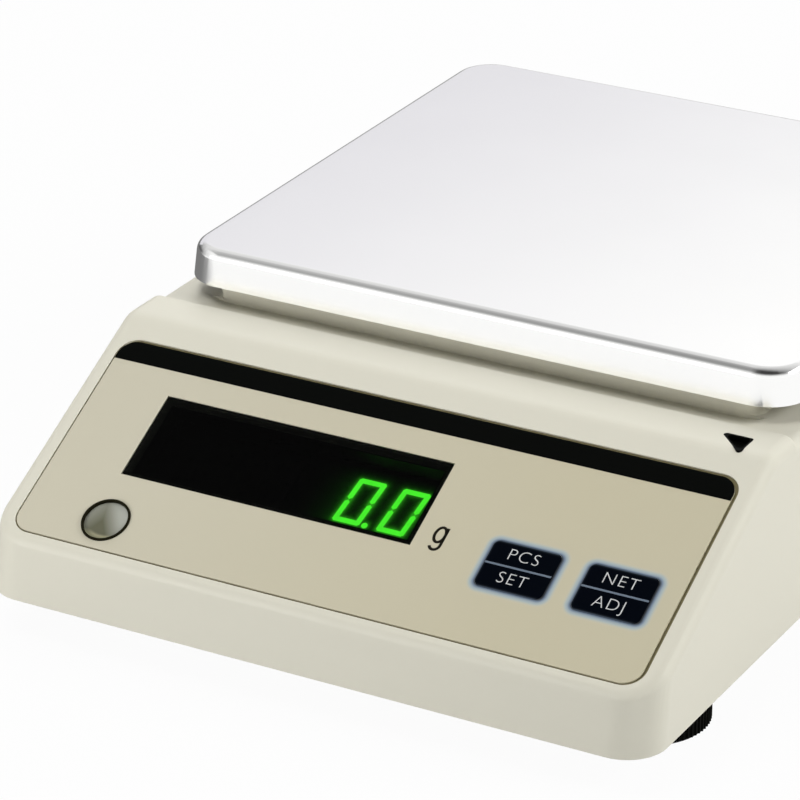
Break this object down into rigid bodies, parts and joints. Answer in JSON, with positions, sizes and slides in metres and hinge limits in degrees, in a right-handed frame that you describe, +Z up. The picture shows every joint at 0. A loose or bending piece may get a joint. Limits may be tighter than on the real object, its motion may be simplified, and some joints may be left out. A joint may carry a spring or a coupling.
{
  "type": "electronic balance",
  "caption": "Desktop electronic balance with a sloped display panel, push keys, a spirit level, a removable steel weighing pan and levelling feet.",
  "frame": {"origin": "centre of the footprint, on the surface that the feet stand on", "axes": "+X to the right of a person facing the panel, +Y away from that person, +Z up"},
  "size_m": [0.191, 0.264, 0.0743],
  "materials": {
    "housing_plastic": "moulded cream plastic, satin",
    "base_plastic": "moulded grey plastic, satin",
    "overlay_film": "printed polyester film, fine texture",
    "smoked_window": "smoked acrylic, polished",
    "circuit_board": "solder mask",
    "black_plastic": "moulded black plastic",
    "key_plastic": "dark blue keys, printed",
    "zinc_steel": "zinc plated steel",
    "clear_plastic": "clear acrylic",
    "vial_plastic": "clear tinted plastic",
    "pan_steel": "stainless steel, fine satin",
    "cast_aluminium": "machined aluminium",
    "rubber": "black rubber",
    "grey_plastic": "grey ribbon insulation"
  },
  "bodies": {
    "housing": {"upper_housing": "housing_plastic", "base_plate": "base_plastic", "front_overlay": "overlay_film", "display_window": "smoked_window", "display_board": "circuit_board", "led_module_left": "black_plastic", "led_module_right": "black_plastic", "key_switch_left": "black_plastic", "key_switch_right": "black_plastic", "display_board_screw_low_left": "zinc_steel", "display_board_screw_high_left": "zinc_steel", "display_board_screw_low_middle": "zinc_steel", "display_board_screw_high_right": "zinc_steel", "level_bezel": "black_plastic", "level_lens": "clear_plastic", "level_vial_cup": "vial_plastic", "load_cell": "cast_aluminium", "load_cell_base_block": "cast_aluminium", "load_cell_base_bolt_1": "zinc_steel", "load_cell_base_bolt_2": "zinc_steel", "overload_stop_front_left": "zinc_steel", "overload_stop_front_right": "zinc_steel", "overload_stop_rear_left": "zinc_steel", "overload_stop_rear_right": "zinc_steel", "main_board": "circuit_board", "main_board_screw_front_left": "zinc_steel", "main_board_screw_front_right": "zinc_steel", "main_board_screw_rear_left": "zinc_steel", "main_board_screw_rear_right": "zinc_steel", "ribbon_cable": "grey_plastic", "power_switch_body": "black_plastic", "dc_inlet": "black_plastic", "housing_screw_front_left": "zinc_steel", "housing_screw_front_right": "zinc_steel", "housing_screw_rear_left": "zinc_steel", "housing_screw_rear_right": "zinc_steel"},
    "weighing_frame": {"pan_support_frame": "cast_aluminium", "pan_buffer_front_left": "rubber", "pan_buffer_front_right": "rubber", "pan_buffer_rear_left": "rubber", "pan_buffer_rear_right": "rubber", "load_cell_top_block": "cast_aluminium", "load_cell_top_bolt_1": "zinc_steel", "load_cell_top_bolt_2": "zinc_steel"},
    "pan": {"weighing_pan": "pan_steel"},
    "left_key": {"key_cap_left": "key_plastic"},
    "right_key": {"key_cap_right": "key_plastic"},
    "rocker": {"power_rocker": "black_plastic"},
    "pad_front_left": {"foot_pad_front_left": "rubber"},
    "pad_front_right": {"foot_pad_front_right": "rubber"},
    "pad_rear_left": {"foot_pad_rear_left": "rubber"},
    "pad_rear_right": {"foot_pad_rear_right": "rubber"},
    "wheel_front_left": {"foot_wheel_front_left": "black_plastic", "foot_stud_front_left": "zinc_steel"},
    "wheel_front_right": {"foot_wheel_front_right": "black_plastic", "foot_stud_front_right": "zinc_steel"},
    "wheel_rear_left": {"foot_wheel_rear_left": "black_plastic", "foot_stud_rear_left": "zinc_steel"},
    "wheel_rear_right": {"foot_wheel_rear_right": "black_plastic", "foot_stud_rear_right": "zinc_steel"}
  },
  "joints": [
    {"name": "load_travel", "type": "slide", "parent": "housing", "child": "weighing_frame", "axis": [0, 0, -1], "range_m": [0, 0.0006], "stiffness_N_per_m": 50000, "springref_m": -0.0002, "deforming": ["load_cell"]},
    {"name": "pan_lift", "type": "slide", "parent": "weighing_frame", "child": "pan", "axis": [0, 0, 1], "range_m": [0, 0.035]},
    {"name": "left_key_press", "type": "slide", "parent": "housing", "child": "left_key", "axis": [0, 0.471, -0.8821], "range_m": [0, 0.0005], "stiffness_N_per_m": 400, "springref_m": -0.003},
    {"name": "right_key_press", "type": "slide", "parent": "housing", "child": "right_key", "axis": [0, 0.471, -0.8821], "range_m": [0, 0.0005], "stiffness_N_per_m": 400, "springref_m": -0.003},
    {"name": "power_rocker_tilt", "type": "hinge", "parent": "housing", "child": "rocker", "pos_m": [-0.058, 0.12662, 0.032], "axis": [-1, 0, 0], "range_deg": [0, 18]},
    {"name": "foot_rise_front_left", "type": "slide", "parent": "housing", "child": "pad_front_left", "axis": [0, 0, -1], "range_m": [-0.00101, 0.00401]},
    {"name": "foot_rise_front_right", "type": "slide", "parent": "housing", "child": "pad_front_right", "axis": [0, 0, -1], "range_m": [-0.00101, 0.00401]},
    {"name": "foot_rise_rear_left", "type": "slide", "parent": "housing", "child": "pad_rear_left", "axis": [0, 0, -1], "range_m": [-0.00101, 0.00401]},
    {"name": "foot_rise_rear_right", "type": "slide", "parent": "housing", "child": "pad_rear_right", "axis": [0, 0, -1], "range_m": [-0.00101, 0.00401]},
    {"name": "foot_turn_front_left", "type": "hinge", "parent": "pad_front_left", "child": "wheel_front_left", "pos_m": [-0.0774, -0.0947, 0.005], "axis": [0, 0, -1], "range_deg": [-360, 1440]},
    {"name": "foot_turn_front_right", "type": "hinge", "parent": "pad_front_right", "child": "wheel_front_right", "pos_m": [0.0774, -0.0947, 0.005], "axis": [0, 0, -1], "range_deg": [-360, 1440]},
    {"name": "foot_turn_rear_left", "type": "hinge", "parent": "pad_rear_left", "child": "wheel_rear_left", "pos_m": [-0.0774, 0.0947, 0.005], "axis": [0, 0, -1], "range_deg": [-360, 1440]},
    {"name": "foot_turn_rear_right", "type": "hinge", "parent": "pad_rear_right", "child": "wheel_rear_right", "pos_m": [0.0774, 0.0947, 0.005], "axis": [0, 0, -1], "range_deg": [-360, 1440]}
  ],
  "couplings": [
    {"joint": "foot_rise_front_left", "follows": "foot_turn_front_left", "m_per_rad": 0.00015915},
    {"joint": "foot_rise_front_right", "follows": "foot_turn_front_right", "m_per_rad": 0.00015915},
    {"joint": "foot_rise_rear_left", "follows": "foot_turn_rear_left", "m_per_rad": 0.00015915},
    {"joint": "foot_rise_rear_right", "follows": "foot_turn_rear_right", "m_per_rad": 0.00015915}
  ]
}
